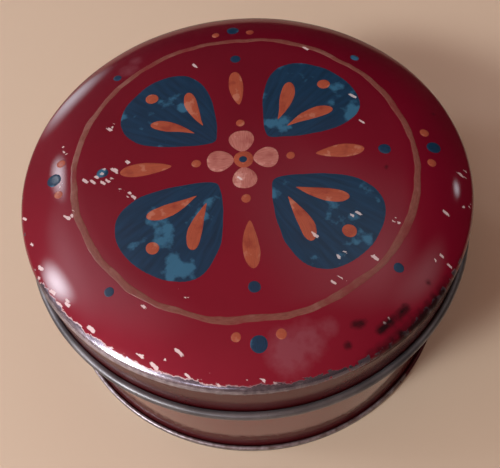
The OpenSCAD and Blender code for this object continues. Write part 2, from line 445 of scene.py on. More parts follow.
# the wall's stain colour and dulled coat lay painted shade along its foot and up its sides
wallLacquer = lacquerMaterial("red lacquer of the wall", dict(
    redLacquer, deep="4c060f", bright="600a15", sheen=0.0, stainAndShade="4a161b", coat=1.0, dullCoat=0.25))
seamLacquer = lacquerMaterial("dark lacquer on the base seam", dict(
    redLacquer, deep="3a0710", bright="4c0b16", sheen=0.0, metal=0.3, coat=0.3, coatRough=0.2,
    tin="766a68", tinRough=0.4))
bareTin = tinMaterial("tarnished tinplate", tinplate)
insideTin = tinMaterial("dull tinplate inside", dict(
    tinplate, dark="7d7a76", light="a9a6a2", rust="6b4a34", metal=0.85, rough=0.4))
tealEnamel = enamelMaterial("brushed teal enamel", dict(
    enamel, dark="0b2940", light="123753", worn="3b7696", under="24182a", chip="b8b2b6",
    wornSize=12, wornShare=0.6, thinShare=0.12))
orangeEnamel = enamelMaterial("brushed orange enamel", dict(
    enamel, dark="8c4230", light="a8543c", worn="b97f6a", under="701a1c", chip="cdb8b4",
    wornSize=6, wornShare=0.5, thinShare=0.5))
lineEnamel = enamelMaterial("thin orange line", dict(
    enamel, dark="6c3a32", light="804c44", worn="8e645c", under="701a24", chip="cdb8b4",
    wornSize=9, wornShare=0.4, thinShare=0.65))
roseEnamel = enamelMaterial("brushed rose enamel", dict(
    enamel, dark="985650", light="b87a70", worn="d2a096", under="7a2426", chip="d6c4c2",
    wornSize=5, wornShare=0.5, thinShare=0.4))
print("materials made")


# Sheet metal: sections drawn in mm as (radius, height), then spun about the tin's axis

def arcPoints(centre, radius, start, end, step):
    # points about a step apart along an arc between two angles in degrees
    count = max(3, math.ceil(abs(math.radians(end - start)) * radius / step))
    angles = np.radians(np.linspace(start, end, count + 1))
    return np.column_stack([centre[0] + radius * np.cos(angles), centre[1] + radius * np.sin(angles)])


def runPoints(start, end, step):
    # points about a step apart along a straight run
    count = max(1, math.ceil(math.dist(start, end) / step))
    return np.linspace(start, end, count + 1)


def sheetSection(runs, thickness):
    # the two faces of a sheet whose middle follows the runs: out along its left face, back along its right
    same = 1e-6                         # mm; points closer than this are one
    line = np.vstack(runs)
    line = line[np.append(True, np.linalg.norm(np.diff(line, axis=0), axis=1) > same)]
    steps = np.diff(line, axis=0)
    steps /= np.linalg.norm(steps, axis=1)[:, None]
    heading = np.vstack([steps[:1], steps[:-1] + steps[1:], steps[-1:]])
    heading /= np.linalg.norm(heading, axis=1)[:, None]
    left = np.column_stack([-heading[:, 1], heading[:, 0]]) * thickness / 2
    loop = np.vstack([line + left, (line - left)[::-1]])
    if line[0, 0] > same:
        loop = np.vstack([loop, loop[:1]])   # a sheet that doesn't reach the axis has two cut edges
    return loop, len(line)


def ringGrid(add, rings, around):
    # a grid to bend into rings: its mesh, each point's index, the ring it is on, and its turn in radians
    perRing = add("FunctionNodeIntegerMath", [around, 1], operation="ADD")
    mesh = add("GeometryNodeMeshGrid", {"Vertices X": rings, "Vertices Y": perRing}, output="Mesh")
    index = add("GeometryNodeInputIndex")
    ring = add("FunctionNodeIntegerMath", [index, perRing], operation="DIVIDE_FLOOR")
    step = add("FunctionNodeIntegerMath", [index, perRing], operation="MODULO")
    share = add("ShaderNodeMath", [step, around], operation="DIVIDE")
    turn = add("ShaderNodeMath", [share, math.tau], operation="MULTIPLY")
    return mesh, index, ring, turn


def swing(add, radius, angle):
    # the place at this radius and angle about +Z
    spoke = add("ShaderNodeCombineXYZ", {"X": radius})
    return add("ShaderNodeVectorRotate", {"Vector": spoke, "Angle": angle}, rotation_type="Z_AXIS")


sheet = 0.5                             # mm, thickness of all the tinplate
weld = 0.002 * mm                       # points closer than this become one
dentCentre = (0, 0, 30 * mm)            # dents are pushed straight towards this point, or away from it
crispBend = math.radians(40)            # a sharper bend than this is shaded as an edge
wideSpan = (0.25, 0.75)                 # nearly all of a noise pattern lies between these values


def spunSheetTree():
    # turns a section round +Z; Gather draws the steps together at the back, where a side seam is pressed in
    tree, add, given = newGroup("spunSheet", "GeometryNodeTree", {
        "Section": "Geometry", "Around": "Int", "Gather": "Float",
        "Seam Place": "Float", "Seam Width": "Float", "Seam Depth": "Float", "Seam Radius": "Float",
        "Dent Depth": "Float", "Dent Size": "Float", "Seed": "Float",
        "Second From": "Int", "Third From": "Int",
        "First": "Material", "Second": "Material", "Third": "Material",
    }, {"Mesh": "Geometry"})
    count = add("GeometryNodeAttributeDomainSize", {"Geometry": given["Section"]}, output="Point Count")
    grid, index, ring, turn = ringGrid(add, count, given["Around"])
    pull = add("ShaderNodeMath", [turn], operation="SINE")
    drawn = add("ShaderNodeMath", [pull, given["Gather"]], operation="MULTIPLY")
    drawnTurn = add("ShaderNodeMath", [turn, drawn], operation="SUBTRACT")
    angle = add("ShaderNodeMath", [drawnTurn, math.pi / 2], operation="ADD")
    place = add("GeometryNodeInputPosition")
    spot = add("GeometryNodeSampleIndex", {"Geometry": given["Section"], "Value": place, "Index": ring},
               data_type="FLOAT_VECTOR")
    profile = add("ShaderNodeSeparateXYZ", [spot], output=None)
    upright = add("ShaderNodeCombineXYZ", {"Z": profile["Z"]})
    spun = add("ShaderNodeVectorMath", [swing(add, profile["X"], angle), upright], operation="ADD")
    turned = add("GeometryNodeSetPosition", {"Geometry": grid, "Position": spun})
    # each face keeps its row, which says what it is coated with, before the poles and seams close
    faceRow = add("FunctionNodeIntegerMath", [index, given["Around"]], operation="DIVIDE_FLOOR")
    rows = add("GeometryNodeStoreNamedAttribute", {"Geometry": turned, "Name": "row", "Value": faceRow},
               data_type="INT", domain="FACE")
    closed = add("GeometryNodeMergeByDistance", {"Geometry": rows, "Distance": weld})
    # side seam: a shallow line down the outside at the back
    axes = add("ShaderNodeSeparateXYZ", [place], output=None)
    flat = add("ShaderNodeVectorMath", [place, (1, 1, 0)], operation="MULTIPLY")
    reach = add("ShaderNodeVectorMath", [flat], output="Value", operation="LENGTH")
    outward = add("ShaderNodeVectorMath", [flat], operation="NORMALIZE")
    aside = add("ShaderNodeMath", [axes["X"], given["Seam Place"]], operation="SUBTRACT")
    asideBy = add("ShaderNodeMath", [aside], operation="ABSOLUTE")
    half = add("ShaderNodeMath", [given["Seam Width"], 0.5], operation="MULTIPLY")
    pressed = add("ShaderNodeMapRange", [asideBy, half, 0, 0, given["Seam Depth"]],
                  interpolation_type="SMOOTHSTEP")
    atBack = add("FunctionNodeCompare", [axes["Y"], 0.0], operation="GREATER_THAN")
    onOutside = add("FunctionNodeCompare", [reach, given["Seam Radius"]], operation="GREATER_THAN")
    here = add("FunctionNodeBooleanMath", [atBack, onOutside], operation="AND")
    inwardBy = add("ShaderNodeMath", [pressed, -1], operation="MULTIPLY")
    seamMove = add("ShaderNodeVectorMath", {0: outward, "Scale": inwardBy}, operation="SCALE")
    seamed = add("GeometryNodeSetPosition", {"Geometry": closed, "Selection": here, "Offset": seamMove})
    # slow dents from years of handling, the same on both faces of the sheet
    perDent = add("ShaderNodeMath", [1, given["Dent Size"]], operation="DIVIDE")
    waves = add("ShaderNodeTexNoise", {"Vector": place, "W": given["Seed"], "Scale": perDent, "Detail": 1},
                noise_dimensions="4D")
    push = add("ShaderNodeMapRange", [waves, *wideSpan, -1, 1])
    pushBy = add("ShaderNodeMath", [push, given["Dent Depth"]], operation="MULTIPLY")
    fromMiddle = add("ShaderNodeVectorMath", [place, dentCentre], operation="SUBTRACT")
    awayFromMiddle = add("ShaderNodeVectorMath", [fromMiddle], operation="NORMALIZE")
    dentMove = add("ShaderNodeVectorMath", {0: awayFromMiddle, "Scale": pushBy}, operation="SCALE")
    dented = add("GeometryNodeSetPosition", {"Geometry": seamed, "Offset": dentMove})
    smooth = add("GeometryNodeSetShadeSmooth", {"Geometry": dented, "Shade Smooth": True})
    bend = add("GeometryNodeInputMeshEdgeAngle")
    crisp = add("FunctionNodeCompare", [bend, crispBend], operation="GREATER_THAN")
    edged = add("GeometryNodeSetShadeSmooth", {"Geometry": smooth, "Selection": crisp,
                                               "Shade Smooth": False}, domain="EDGE")
    coated = add("GeometryNodeRealizeInstances", {"Geometry": edged})
    coated = add("GeometryNodeSetMaterial", {"Geometry": coated, "Material": given["First"]})
    row = add("GeometryNodeInputNamedAttribute", {"Name": "row"}, output="Attribute", data_type="INT")
    for zone in ("Second", "Third"):
        reached = add("FunctionNodeCompare", {2: row, 3: given[zone + " From"]}, data_type="INT",
                      operation="GREATER_EQUAL")
        coated = add("GeometryNodeSetMaterial", {"Geometry": coated, "Selection": reached,
                                                 "Material": given[zone]})
    add("NodeGroupOutput", {"Mesh": coated}, output=None)
    return tree


spunSheet = spunSheetTree()
# what the tree is told of a pressed piece, which has no side seam
seamless = {"Gather": 0.0, "Seam Place": 0.0, "Seam Width": 1 * mm, "Seam Depth": 0.0, "Seam Radius": 1.0}


def spinSheet(name, sizes, loop, rows, coats, seam):
    # spins a section into a piece; the second and the third coat start at the rows given
    section = bpy.data.meshes.new(name)
    section.from_pydata([(r * mm, 0, z * mm) for r, z in loop], [], [])
    return growPiece(name, spunSheet, dict(seam, **{
        "Around": sizes["around"], "Seed": sizes["dentSeed"],
        "Dent Depth": sizes["dentDepth"] * mm, "Dent Size": sizes["dentSize"] * mm,
        "Second From": rows[0], "Third From": rows[1],
        "First": coats[0], "Second": coats[1], "Third": coats[2],
    }), section)


lid = {
    "cornerHeight": 77.264,             # mm, centre of the corner between shoulder and skirt
    "skirtRadius": 90.9,
    "skirtHeight": 20.3,
    "cornerRadius": 3.1,
    "shoulderRadius": 62,
    "shoulderSlope": 28,                # degrees
    "crownSlope": 2.5,
    "rollRadius": 1.8,
    "rollTurn": 300,
    "steps": (1.2, 1.1, 0.3, 1.5, 0.4), # mm between points of crown, shoulder, corner, skirt and roll
    "around": 320,
    "dentDepth": 0.10,
    "dentSize": 32,
    "dentSeed": 3.0,
}


def lidSection():
    # crown, shoulder, corner and skirt, then the edge rolled outwards round its wire
    middle = sheet / 2
    crownStep, shoulderStep, cornerStep, skirtStep, rollStep = lid["steps"]
    slope, crest = math.radians(lid["shoulderSlope"]), math.radians(lid["crownSlope"])
    shoulderTop, shoulderFoot = 90 - lid["crownSlope"], 90 - lid["shoulderSlope"]
    corner = np.array([lid["skirtRadius"] - lid["cornerRadius"], lid["cornerHeight"]])
    shoulderOff = lid["cornerRadius"] - lid["shoulderRadius"]
    shoulder = corner + shoulderOff * np.array([math.sin(slope), math.cos(slope)])
    crownRadius = lid["shoulderRadius"] + shoulder[0] / math.sin(crest)
    crown = shoulder + (lid["shoulderRadius"] - crownRadius) * np.array([math.sin(crest), math.cos(crest)])
    skirtLine = lid["skirtRadius"] - middle
    rollHeight = lid["cornerHeight"] - lid["skirtHeight"]
    roll = np.array([lid["skirtRadius"] - sheet + lid["rollRadius"], rollHeight])
    dome = [
        arcPoints(crown, crownRadius - middle, 90, shoulderTop, crownStep),
        arcPoints(shoulder, lid["shoulderRadius"] - middle, shoulderTop, shoulderFoot, shoulderStep),
        arcPoints(corner, lid["cornerRadius"] - middle, shoulderFoot, 0, cornerStep),
    ]
    skirt = runPoints((skirtLine, corner[1]), (skirtLine, rollHeight), skirtStep)
    edge = arcPoints(roll, lid["rollRadius"] - middle, 180, 180 + lid["rollTurn"], rollStep)
    loop, rings = sheetSection(dome + [skirt, edge], sheet)
    rollFrom = rings - len(edge)
    return loop, (rollFrom - len(skirt) + 1, rollFrom)


lidShell = spinSheet("lidShell", lid, *lidSection(), (lidLacquer, skirtLacquer, bareTin), seamless)

# where the lid is worn, and where a painted reflection lies: x, y, spread in mm and strength of each mark
lidMarks = {
    "chips": ((-15, 55, 1.6, 1), (-54, 23, 1.6, 1), (-46, 4, 1.4, 1), (-72, 14, 1.6, 1), (-72, -4, 1.8, 1),
              (-68, -18, 2.0, 1), (-49, -10, 2.2, 0.8), (-45, -12, 1.6, 0.9), (-45, -47, 1.5, 1),
              (-24, -56, 1.4, 1), (-40, -60, 1.5, 1), (-68, -53, 2.8, 1), (-79, -41, 1.6, 1),
              (-32, -79, 1.5, 1), (33, -46, 1.5, 1), (44, -47, 1.9, 1), (29, -56, 1.4, 1),
              (44, -70, 1.5, 1), (71, -48, 3.6, 0.8), (78, -42, 1.5, 1), (41, -29, 1.4, 1),
              (54, -33, 1.4, 1), (85, -14, 2.2, 0.8), (83, -27, 2.0, 0.8),
              (-60, -5, 3.6, 1), (-57, -4, 3.6, 1), (-54, -2, 3.6, 1), (-51, -1, 3.6, 1)),
    "stains": ((32.9, -71.8, 1.8, 0.8), (34.4, -71.5, 2.1, 0.9), (36.2, -70.9, 1.9, 0.8),
               (41.4, -73.9, 2.0, 0.8), (43, -72.9, 2.2, 0.9), (44.6, -71.9, 2.3, 0.9),
               (46.1, -71, 2.2, 0.9), (47.7, -70.3, 2.0, 0.85), (48.9, -69.3, 2.1, 0.85),
               (50.5, -67.9, 2.2, 0.9), (52.2, -66.3, 2.1, 0.85), (30, -78.2, 2.0, 0.75),
               (62, -57, 1.8, 0.7), (55, -9, 1.4, 0.8), (80, 19, 1.6, 0.7)),
    # the three bloom marks at the front are a painted reflection
    "bloomAndReflection": ((10, -79, 8, 1.0), (16, -76, 7, 0.9), (24, -72, 4, 0.7), (-47, 56, 5, 0.7), (-44, 62, 4, 0.6)),
}
strayChips = 0.004                      # share of flakes lost where nothing rubs
# the lid's worn edge, painted brightest where the light's reflection falls: places in degrees round the lid,
# heights in mm over the corner's centre, shares 0 to 1
edgeRub = {
    "from": 206,                        # worn bare from here
    "to": 330,                          # to here
    "ramp": 9,                          # how soon that starts and ends
    "bright": 236,                      # the painted highlight on the bare tin is centred here
    "brightSpread": 32,
    "dull": 0.66,                       # how bare it is away from the painted highlight
    "elsewhere": 0.22,
    "top": 3.7,                         # the worn band thins out up to here
    "brightRise": 0.8,                  # and this much higher at the painted highlight
    "full": 2.2,                        # and is whole up to here
    "foot": (-0.3, 0.3),                # it starts where the skirt ends
    "inset": 4,                         # mm in from the corner's centre that it can reach
    "flecks": 0.5,                      # share of pale flakes beside the painted highlight, painted glints on its ragged edge
    "fleckHeights": (4.9, 3.9),         # up to here
    "chipHeights": (1.6, 2.6),          # no single flakes lower down, where all is rubbed
    "grimeFrom": 278,                   # past here grime covers what is left
    "grimeTo": 305,
    "grimeEnd": 345,
    "grimeFade": 35,                    # degrees that it takes to end
    "grimy": 0.44,                      # how bare it is there
    "grimeHeights": (5.5, 2.0),
    "skirtGrime": 0.4,                  # strength of the grime on the skirt
    "cornerGrime": 0.45,                # and what the corner has on top of that
    "cornerHeights": (-3.0, 0.6),
}


def storeWear(piece, chips, stains, bloomAndReflection, rub):
    # the wear attribute that the wear pattern breaks up, one kind of mark in each channel, painted light
    # among them
    values = np.column_stack([chips, stains, bloomAndReflection, rub]).astype(np.float32)
    layer = piece.data.color_attributes.new("wear", "FLOAT_COLOR", "POINT")
    layer.data.foreach_set("color", values.ravel())


def pointsOf(piece):
    # x, y, height and radius of the piece's points, in mm
    flat = np.zeros(len(piece.data.vertices) * 3, np.float32)
    piece.data.vertices.foreach_get("co", flat)
    x, y, z = flat.reshape(-1, 3).T / mm
    return x, y, z, np.hypot(x, y)


def ease(values, start, end):
    # 0 before start and 1 past end, with a smooth way between
    t = np.clip((values - start) / (end - start), 0, 1)
    return t * t * (3 - 2 * t)


def wearLid():
    x, y, z, r = pointsOf(lidShell)
    layers = {}
    for kind, marks in lidMarks.items():
        layers[kind] = np.zeros_like(x)
        for markX, markY, spread, strength in marks:
            near = strength * np.exp(-((x - markX) ** 2 + (y - markY) ** 2) / spread ** 2)
            layers[kind] = np.maximum(layers[kind], near)
    above = z - lid["cornerHeight"]
    turned = np.degrees(np.arctan2(y, x)) % 360
    # the rubbed band round the corner, rubbed furthest and painted brightest where the light's reflection
    # falls
    bright = np.exp(-((turned - edgeRub["bright"]) / edgeRub["brightSpread"]) ** 2)
    band = ease(above, edgeRub["top"] + edgeRub["brightRise"] * bright, edgeRub["full"])
    band *= ease(above, *edgeRub["foot"])
    band *= r > lid["skirtRadius"] - lid["cornerRadius"] - edgeRub["inset"]
    start, end, ramp = edgeRub["from"], edgeRub["to"], edgeRub["ramp"]
    worn = ease(turned, start - ramp, start + ramp) * ease(turned, end + ramp, end - ramp)
    grime = ease(turned, edgeRub["grimeFrom"], edgeRub["grimeTo"])
    dull = edgeRub["dull"] + (edgeRub["grimy"] - edgeRub["dull"]) * grime
    rub = np.maximum(edgeRub["elsewhere"], worn * (dull + (1 - dull) * bright))
    # pale flakes beside the painted highlight, as painted glints, and the grime that has settled on its far
    # end
    flecks = edgeRub["flecks"] * bright * ease(above, *edgeRub["fleckHeights"])
    chips = np.maximum(np.maximum(layers["chips"], strayChips), flecks)
    chips *= ease(above, *edgeRub["chipHeights"])
    settled = grime * ease(turned, edgeRub["grimeEnd"], edgeRub["grimeEnd"] - edgeRub["grimeFade"])
    onCorner = edgeRub["cornerGrime"] * ease(above, *edgeRub["cornerHeights"])
    grimy = settled * ease(above, *edgeRub["grimeHeights"]) * (edgeRub["skirtGrime"] + onCorner)
    storeWear(lidShell, chips, np.maximum(layers["stains"], grimy), layers["bloomAndReflection"], band * rub)


wearLid()

wall = {
    "radius": 90,                       # mm, outside of the body
    "mouthHeight": 79,
    "mouthRadius": 1.3,
    "mouthTurn": 280,                   # degrees
    "hookRadius": 0.95,
    "hookCentre": (90.45, 1.65),
    "hookTop": 2.55,
    "steps": (0.4, 3, 0.3, 1),          # mm between points of mouth, wall, hook and its end
    "around": 512,
    "gather": 0.9,                      # how far the steps are drawn to the side seam, for its narrow line
    "seamPlace": 2.7,                   # mm to the right of the back
    "seamWidth": 1.0,
    "seamDepth": 0.25,
    "dentDepth": 0.08,
    "dentSize": 40,
    "dentSeed": 8.0,
    "shadedFoot": (25, 14),               # mm up, where the painted shade along the foot ends and where it is whole
    "shadeRise": (90, 40),               # mm more of each at the two sides, where the painted shade rises
    "shadeLeft": (0.30, 0.90, 0.3),      # how far out that starts and is full, over the radius, and its share
    "shadeRight": (0.40, 0.90, 0.6),
    "rubHeights": (76.6, 78.4),         # mm, where the lid rubs the mouth
    "rub": 0.9,
}


def wallSection():
    # curled mouth, straight wall, and the hook at its foot that the base is folded over
    middle = sheet / 2
    mouthStep, wallStep, hookStep, endStep = wall["steps"]
    mouth = (wall["radius"] - wall["mouthRadius"], wall["mouthHeight"] - wall["mouthRadius"])
    wallLine = wall["radius"] - middle
    hook, hookLine = wall["hookCentre"], wall["hookRadius"] - middle
    loop, rings = sheetSection([
        arcPoints(mouth, wall["mouthRadius"] - middle, wall["mouthTurn"], 0, mouthStep),
        runPoints((wallLine, mouth[1]), (wallLine, hook[1]), wallStep),
        arcPoints(hook, hookLine, 180, 360, hookStep),
        runPoints((hook[0] + hookLine, hook[1]), (hook[0] + hookLine, wall["hookTop"]), endStep),
    ], sheet)
    return loop, (rings, rings)


bodyWall = spinSheet("bodyWall", wall, *wallSection(), (wallLacquer, insideTin, insideTin), {
    "Gather": wall["gather"], "Seam Place": wall["seamPlace"] * mm, "Seam Width": wall["seamWidth"] * mm,
    "Seam Depth": wall["seamDepth"] * mm, "Seam Radius": (wall["radius"] - sheet / 2) * mm,
})


def wearWall():
    # the lid rubs the mouth each time it goes on; along the foot, and higher up at the two sides, the
    # lacquer is painted darker and duller as painted shade, for the seam's dark reflection and the shade at
    # the wall's ends
    x, y, z, r = pointsOf(bodyWall)
    clean = np.zeros_like(x)
    sideShade = clean
    for sideways, (start, full, share) in ((-x / r, wall["shadeLeft"]), (x / r, wall["shadeRight"])):
        sideShade = np.maximum(sideShade, share * ease(sideways, start, full))
    shadeEnd, shadeFull = (height + rise * sideShade for height, rise in zip(wall["shadedFoot"], wall["shadeRise"]))
    rub = ease(z, *wall["rubHeights"]) * wall["rub"]
    storeWear(bodyWall, clean, ease(z, shadeEnd, shadeFull), clean, rub)


wearWall()

sideFold = {
    "width": 6,                         # mm across the folded layers
    "layers": 3,
    "low": 5.0,                         # mm above the floor
    "high": 75.9,
    "pressed": 0.98,                    # thickness left of each layer, so that the layers stay apart
    "bendStep": 0.2,                    # mm between points of a bend
}


def addSideFold():
    # the wall's two edges hooked together and pressed flat inside, each layer folded back on the last
    half = sideFold["width"] / 2 - sheet
    outerLayer = wall["radius"] - sheet * 1.5       # middle of the layer that lies against the wall
    runs = []
    for layer in range(sideFold["layers"]):
        depth = outerLayer - layer * sheet
        side = 1 if layer % 2 == 0 else -1
        runs.append(runPoints((side * half, depth), (-side * half, depth), sideFold["width"]))
        if layer < sideFold["layers"] - 1:
            turn = (90, 270) if side > 0 else (90, -90)
            bend = (-side * half, depth - sheet / 2)
            runs.append(arcPoints(bend, sheet / 2, *turn, sideFold["bendStep"]))
    loop, _ = sheetSection(runs, sheet * sideFold["pressed"])
    loop = loop[:-1]
    count = len(loop)
    points = [(x * mm, y * mm, z * mm) for z in (sideFold["low"], sideFold["high"]) for x, y in loop]
    faces = [(count + i, count + (i + 1) % count, (i + 1) % count, i) for i in range(count)]
    faces += [tuple(range(count - 1, -1, -1)), tuple(range(count, 2 * count))]
    mesh = bpy.data.meshes.new("sideFold")
    mesh.from_pydata(points, [], faces)
    mesh.materials.append(insideTin)
    piece = bpy.data.objects.new("sideFold", mesh)
    bpy.context.scene.collection.objects.link(piece)
    return piece


foldStrip = addSideFold()

base = {
    "panelHeight": 4,                   # mm, underside of the panel above the floor
    "bendCentre": (87.8, 3.0),
    "bendRadius": 1.5,
    "footCentres": ((89.8, 1.0), (91.1, 1.0)),
    "footRadius": 1.0,
    "hookCentre": (91.15, 2.55),
    "hookRadius": 0.95,
    "hookEnd": 1.65,
    "steps": (4, 0.3, 1, 0.2, 0.5),     # mm between points of panel, bend, straight runs, turns and outside
    "around": 320,
    "dentDepth": 0.08,
    "dentSize": 45,
    "dentSeed": 5.0,
    "scuffRadii": (90.3, 90.8),         # mm, from lacquer on top of the seam to its scuffed outside
    "scuff": 0.85,
    "spared": 0.6,                      # how much less of that at the right
    "sparedFrom": (0.60, 0.74),         # how far out that starts and is full, over the radius
}


def baseSection():
    # panel, rim down inside the wall, flat foot, outer turn, and the hook folded in behind the wall's
    middle = sheet / 2
    panelStep, bendStep, runStep, turnStep, outsideStep = base["steps"]
    bend, hook = base["bendCentre"], base["hookCentre"]
    inner, outer = base["footCentres"]
    foot, hookLine = base["footRadius"] - middle, base["hookRadius"] - middle
    bendLine = base["bendRadius"] - middle
    panelLine = base["panelHeight"] + middle
    hookTurn = arcPoints(hook, hookLine, 0, 180, turnStep)
    hookRun = runPoints((hook[0] - hookLine, hook[1]), (hook[0] - hookLine, base["hookEnd"]), runStep)
    loop, rings = sheetSection([
        runPoints((0, panelLine), (bend[0], panelLine), panelStep),
        arcPoints(bend, bendLine, 90, 0, bendStep),
        runPoints((bend[0] + bendLine, bend[1]), (inner[0] - foot, inner[1]), runStep),
        arcPoints(inner, foot, 180, 270, turnStep),
        arcPoints(outer, foot, 270, 360, turnStep),
        runPoints((outer[0] + foot, outer[1]), (hook[0] + hookLine, hook[1]), outsideStep),
        hookTurn,
        hookRun,
    ], sheet)
    return loop, (rings, rings + len(hookRun) + len(hookTurn) - 1)


basePan = spinSheet("basePan", base, *baseSection(), (insideTin, seamLacquer, bareTin), seamless)


def wearBase():
    # the seam's outer edge scuffs on every shelf, so its lacquer is left only on top, and at the right
    x, y, z, r = pointsOf(basePan)
    clean = np.zeros_like(x)
    spared = ease(x / np.maximum(r, 1), *base["sparedFrom"])
    scuffed = (base["scuff"] - base["spared"] * spared) * ease(r, *base["scuffRadii"])
    storeWear(basePan, clean, clean, clean, scuffed)


wearBase()

# the wire keeps its CAD shape
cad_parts["lid_rim_wire"].data.materials.clear()
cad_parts["lid_rim_wire"].data.materials.append(bareTin)

for piece, body, node, slot in ((lidShell, "lid", "lid_shell", "lid_lacquer"),
                                (bodyWall, "tin_body", "body_wall", "wall_lacquer"),
                                (basePan, "tin_body", "base_pan", "base_tin")):
    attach(piece, body)
    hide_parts(node)
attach(foldStrip, "tin_body")
print("sheet metal done")


# Brushed ornament: films of enamel laid on the dome

brush = {
    "above": (0, 0, 0.2),               # m, over the lid, where a shape is dropped from
    "drop": 1,                          # m, how far down the lid is looked for
    "edgePower": 5,                     # a film is level nearly to its edge, and then falls
    "dabWeld": 0.001,                   # points of a dab closer than this, over its radius, become one
    "lineStreaks": (20, 0.25, 1),       # how long and how wide the streaks in the line are drawn
}


def layPaintTree():
    # drops a flat shape on the lid and gives it the thickness of a film, closed underneath
    tree, add, given = newGroup("layPaint", "GeometryNodeTree", {
        "Flat": "Geometry", "Lid": "Object", "Film": "Float", "Sink": "Float", "Paint": "Material",
    }, {"Mesh": "Geometry"})
    dome = add("GeometryNodeObjectInfo", {"Object": given["Lid"]}, output="Geometry",
               transform_space="RELATIVE")
    place = add("GeometryNodeInputPosition")
    over = add("ShaderNodeVectorMath", [place, (1, 1, 0), brush["above"]], operation="MULTIPLY_ADD")
    worn = add("GeometryNodeInputNamedAttribute", {"Name": "wear"}, output="Attribute",
               data_type="FLOAT_COLOR")
    ray = add("GeometryNodeRaycast", {
        "Target Geometry": dome, "Attribute": worn, "Source Position": over, "Ray Direction": (0, 0, -1),
        "Ray Length": brush["drop"],
    }, output=None, data_type="FLOAT_COLOR")
    laid = add("GeometryNodeSetPosition", {"Geometry": given["Flat"], "Position": ray["Hit Position"]})
    laid = add("GeometryNodeStoreNamedAttribute", {"Geometry": laid, "Name": "wear",
                                                   "Value": ray["Attribute"]}, data_type="FLOAT_COLOR")
    edge = add("GeometryNodeInputNamedAttribute", {"Name": "edge"}, output="Attribute", data_type="FLOAT")
    falling = add("ShaderNodeMath", [edge, brush["edgePower"]], operation="POWER")
    depth = add("ShaderNodeMath", [given["Film"], given["Sink"]], operation="ADD")
    fall = add("ShaderNodeMath", [falling, depth], operation="MULTIPLY")
    rise = add("ShaderNodeMath", [given["Film"], fall], operation="SUBTRACT")
    lift = add("ShaderNodeCombineXYZ", {"Z": rise})
    top = add("GeometryNodeSetPosition", {"Geometry": laid, "Offset": lift})
    sinkBy = add("ShaderNodeMath", [given["Sink"], -1], operation="MULTIPLY")
    drop = add("ShaderNodeCombineXYZ", {"Z": sinkBy})
    under = add("GeometryNodeSetPosition", {"Geometry": laid, "Offset": drop})
    under = add("GeometryNodeFlipFaces", {"Mesh": under})
    both = add("GeometryNodeJoinGeometry", [under])
    feed(both.node, [top])
    closed = add("GeometryNodeMergeByDistance", {"Geometry": both, "Distance": weld})
    smooth = add("GeometryNodeSetShadeSmooth", {"Geometry": closed, "Shade Smooth": True})
    solid = add("GeometryNodeRealizeInstances", {"Geometry": smooth})
    painted = add("GeometryNodeSetMaterial", {"Geometry": solid, "Material": given["Paint"]})
    add("NodeGroupOutput", {"Mesh": painted}, output=None)
    return tree


layPaint = layPaintTree()


def layFlat(add, given, flat):
    # ends a tree of brushwork: its flat shape is laid on the lid
    shared = {name: given[name] for name in ("Lid", "Film", "Sink", "Paint")}
    laid = add("GeometryNodeGroup", {"Flat": flat, **shared}, node_tree=layPaint)
    add("NodeGroupOutput", {"Mesh": laid}, output=None)


